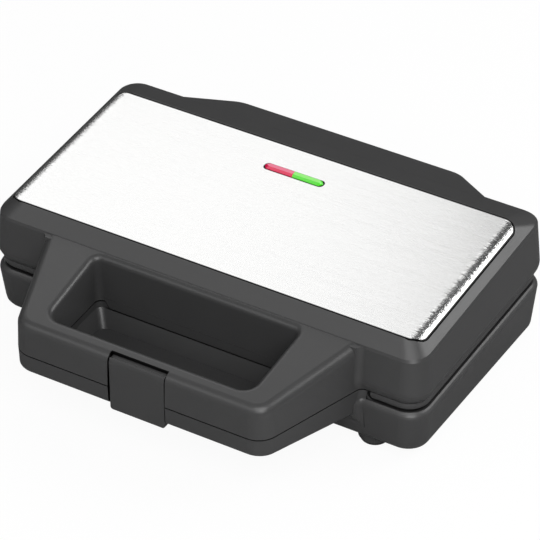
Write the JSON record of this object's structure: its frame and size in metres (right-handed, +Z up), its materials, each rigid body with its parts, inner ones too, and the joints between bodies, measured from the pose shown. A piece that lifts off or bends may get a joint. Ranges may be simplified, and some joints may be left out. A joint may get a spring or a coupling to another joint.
{
  "type": "sandwich maker",
  "caption": "Closed countertop sandwich toaster: hinged lid with brushed steel plate and indicator lens, loop handle split at the parting line, latch clip, cast plates with triangular pockets.",
  "frame": {"origin": "on the table under the middle of the object's bounding box", "axes": "+X to the right of someone facing the handle, +Y back towards the hinge, +Z up"},
  "size_m": [0.3018, 0.2556, 0.092],
  "materials": {
    "dark_plastic": "satin moulded dark grey",
    "brushed_steel": "brushed along the width",
    "red_clear": "glossy, tinted clear",
    "green_clear": "glossy, tinted clear",
    "coated_aluminium": "dark non-stick coating",
    "heater_steel": "dull sheath",
    "sheet_steel": "plain sheet",
    "bright_steel": "bright zinc",
    "black_rubber": "matte",
    "white_ceramic": "unglazed",
    "pale_plastic": "plain",
    "lamp_glass": "clear"
  },
  "bodies": {
    "base": {"base_shell": "dark_plastic", "cord_bush": "black_rubber", "front_left_foot": "black_rubber", "front_right_foot": "black_rubber", "lower_cooking_plate": "coated_aluminium", "lower_element_clamps": "sheet_steel", "lower_handle_covers": "dark_plastic", "lower_heat_shield": "sheet_steel", "lower_heating_element": "heater_steel", "lower_plate_screws": "bright_steel", "rear_left_foot": "black_rubber", "rear_right_foot": "black_rubber", "terminal_block": "white_ceramic", "thermal_fuse": "bright_steel", "thermostat": "white_ceramic"},
    "lid": {"green_lens": "green_clear", "lamp_holder": "pale_plastic", "latch_pin": "bright_steel", "left_hinge_pin": "bright_steel", "left_neon_lamp": "lamp_glass", "lid_shell": "dark_plastic", "red_lens": "red_clear", "right_hinge_pin": "bright_steel", "right_neon_lamp": "lamp_glass", "steel_trim_plate": "brushed_steel", "upper_cooking_plate": "coated_aluminium", "upper_element_clamps": "sheet_steel", "upper_handle_covers": "dark_plastic", "upper_heat_shield": "sheet_steel", "upper_heating_element": "heater_steel", "upper_plate_screws": "bright_steel"},
    "latch": {"latch_clip": "dark_plastic"}
  },
  "joints": [
    {"name": "lid_hinge", "type": "hinge", "parent": "base", "child": "lid", "pos_m": [0, 0.11828, 0.041], "axis": [-1, 0, 0], "range_deg": [0, 100]},
    {"name": "latch_pivot", "type": "hinge", "parent": "lid", "child": "latch", "pos_m": [0, -0.12101, 0.06297], "axis": [-1, 0, 0], "range_deg": [0, 35]}
  ]
}
